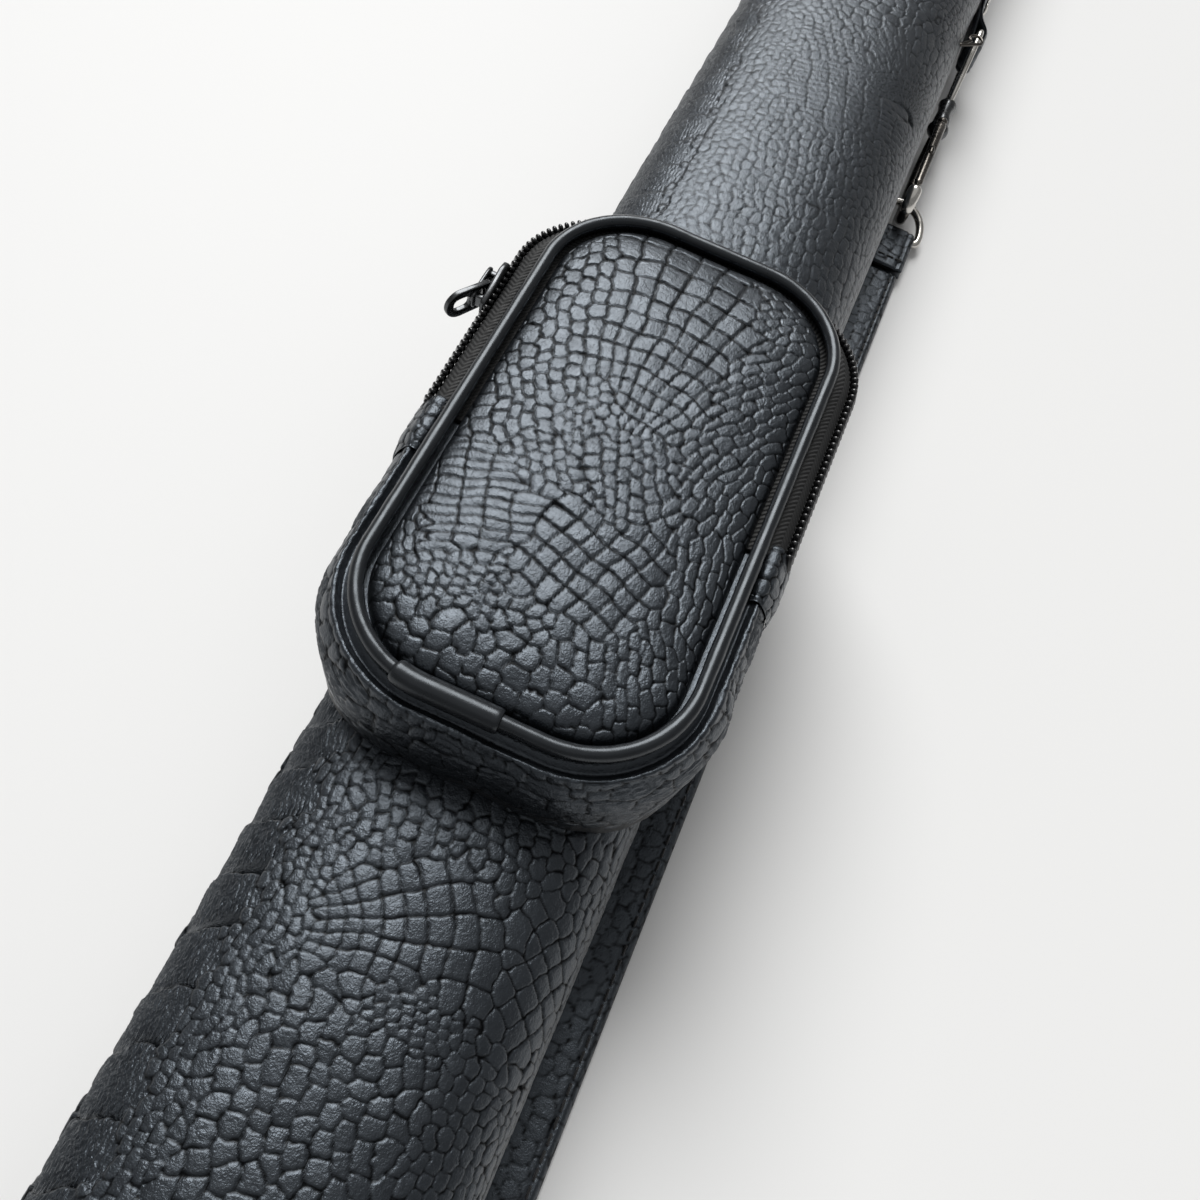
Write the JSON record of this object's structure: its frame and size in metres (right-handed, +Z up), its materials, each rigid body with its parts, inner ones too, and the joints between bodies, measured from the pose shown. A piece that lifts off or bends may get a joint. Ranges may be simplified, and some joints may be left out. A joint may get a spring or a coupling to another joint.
{
  "type": "cue case",
  "caption": "Hard oval cue case in embossed leatherette with a pull-off lid, a zipped accessory pouch and a clip-on carry strap held by snap hooks.",
  "frame": {"origin": "middle of the case's resting face, on the ground under the case", "axes": "+X along the case towards the lid, +Y away from the carry strap, +Z up out of the front, where the pouch sits"},
  "size_m": [0.82, 0.1072, 0.0713],
  "materials": {
    "croc_leather": "crocodile-embossed satin",
    "vinyl_trim": "smooth satin",
    "zipper_tape": "herringbone weave",
    "zipper_coil": "glossy",
    "gunmetal": "dark plated satin",
    "nickel": "polished nickel",
    "shell_board": "matte",
    "foam": "open foam",
    "velvet": "short pile"
  },
  "bodies": {
    "case": {"tube_cover": "croc_leather", "base_binding": "vinyl_trim", "mouth_binding": "vinyl_trim", "tube_shell": "shell_board", "base_cap": "croc_leather", "base_pad": "foam", "mouth_collar": "velvet", "liner_block": "foam", "mouth_plate": "velvet", "butt_sleeve": "velvet", "shaft_sleeve": "velvet", "snap_stud": "nickel", "pouch_back": "croc_leather", "pouch_gusset": "croc_leather", "pouch_rear_strip": "croc_leather", "zipper_tape_rear": "zipper_tape", "zipper_coil_rear": "zipper_coil", "zipper_end_fold_left": "croc_leather", "zipper_end_fold_right": "croc_leather", "piping_lower_left": "vinyl_trim", "piping_lower_right": "vinyl_trim", "piping_sleeve": "vinyl_trim", "pouch_panel_lower": "croc_leather", "carry_strap": "croc_leather", "strap_fold_upper": "croc_leather", "strap_fold_lower": "croc_leather", "swivel_eye_upper": "nickel", "swivel_eye_lower": "nickel", "anchor_strap_upper": "croc_leather", "anchor_strap_lower": "croc_leather", "anchor_rivet_upper_inner": "nickel", "anchor_rivet_upper_outer": "nickel", "anchor_rivet_lower_inner": "nickel", "anchor_rivet_lower_outer": "nickel"},
    "lid": {"lid_rim_binding": "vinyl_trim", "lid_cover": "croc_leather", "lid_end_binding": "vinyl_trim", "lid_shell": "shell_board", "lid_end_cap": "croc_leather", "lid_lining": "velvet", "lid_end_pad": "foam", "closure_patch": "croc_leather", "closure_rivet_left": "nickel", "closure_rivet_right": "nickel"},
    "closure": {"closure_strap": "croc_leather", "snap_cap": "nickel"},
    "flap": {"pouch_panel_flap": "croc_leather", "piping_flap": "vinyl_trim", "zipper_tape_flap": "zipper_tape", "zipper_coil_flap": "zipper_coil"},
    "slider": {"zipper_slider": "gunmetal"},
    "pull": {"zipper_pull": "gunmetal"},
    "ring_upper": {"strap_ring_upper": "nickel"},
    "hook_upper": {"snap_hook_upper": "nickel"},
    "gate_upper": {"hook_gate_upper": "nickel"},
    "ring_lower": {"strap_ring_lower": "nickel"},
    "hook_lower": {"snap_hook_lower": "nickel"},
    "gate_lower": {"hook_gate_lower": "nickel"}
  },
  "joints": [
    {"name": "lid_slide", "type": "slide", "parent": "case", "child": "lid", "axis": [1, 0, 0], "range_m": [0, 0.15]},
    {"name": "closure_hinge", "type": "hinge", "parent": "lid", "child": "closure", "pos_m": [0.283, 0, 0.052], "axis": [0, 1, 0], "range_deg": [0, 150]},
    {"name": "pouch_flap_hinge", "type": "hinge", "parent": "case", "child": "flap", "pos_m": [-0.087, 0, 0.0722], "axis": [0, -1, 0], "range_deg": [0, 80]},
    {"name": "zip_slide", "type": "slide", "parent": "case", "child": "slider", "axis": [1, 0, 0], "range_m": [-0.026, 0.008]},
    {"name": "pull_hinge", "type": "hinge", "parent": "slider", "child": "pull", "pos_m": [-0.047, 0.0481, 0.063], "axis": [0, 0, -1], "range_deg": [-12, 100]},
    {"name": "ring_upper_hinge", "type": "hinge", "parent": "case", "child": "ring_upper", "pos_m": [0.0996, -0.041, 0.0031], "axis": [0, -1, 0], "range_deg": [0, 5]},
    {"name": "hook_upper_swivel", "type": "hinge", "parent": "case", "child": "hook_upper", "pos_m": [0.1498, -0.0425, 0.0115], "axis": [1, 0, 0], "range_deg": [-8, 8]},
    {"name": "gate_upper_hinge", "type": "hinge", "parent": "hook_upper", "child": "gate_upper", "pos_m": [0.1425, -0.0425, 0.0181], "axis": [0, -1, 0], "range_deg": [0, 12], "stiffness_Nm_per_rad": 0.03, "springref_deg": -20.05},
    {"name": "ring_lower_hinge", "type": "hinge", "parent": "case", "child": "ring_lower", "pos_m": [-0.2516, -0.041, 0.0031], "axis": [0, 1, 0], "range_deg": [0, 5]},
    {"name": "hook_lower_swivel", "type": "hinge", "parent": "case", "child": "hook_lower", "pos_m": [-0.3018, -0.0425, 0.0115], "axis": [1, 0, 0], "range_deg": [-8, 8]},
    {"name": "gate_lower_hinge", "type": "hinge", "parent": "hook_lower", "child": "gate_lower", "pos_m": [-0.2945, -0.0425, 0.0181], "axis": [0, 1, 0], "range_deg": [0, 12], "stiffness_Nm_per_rad": 0.03, "springref_deg": -20.05}
  ]
}
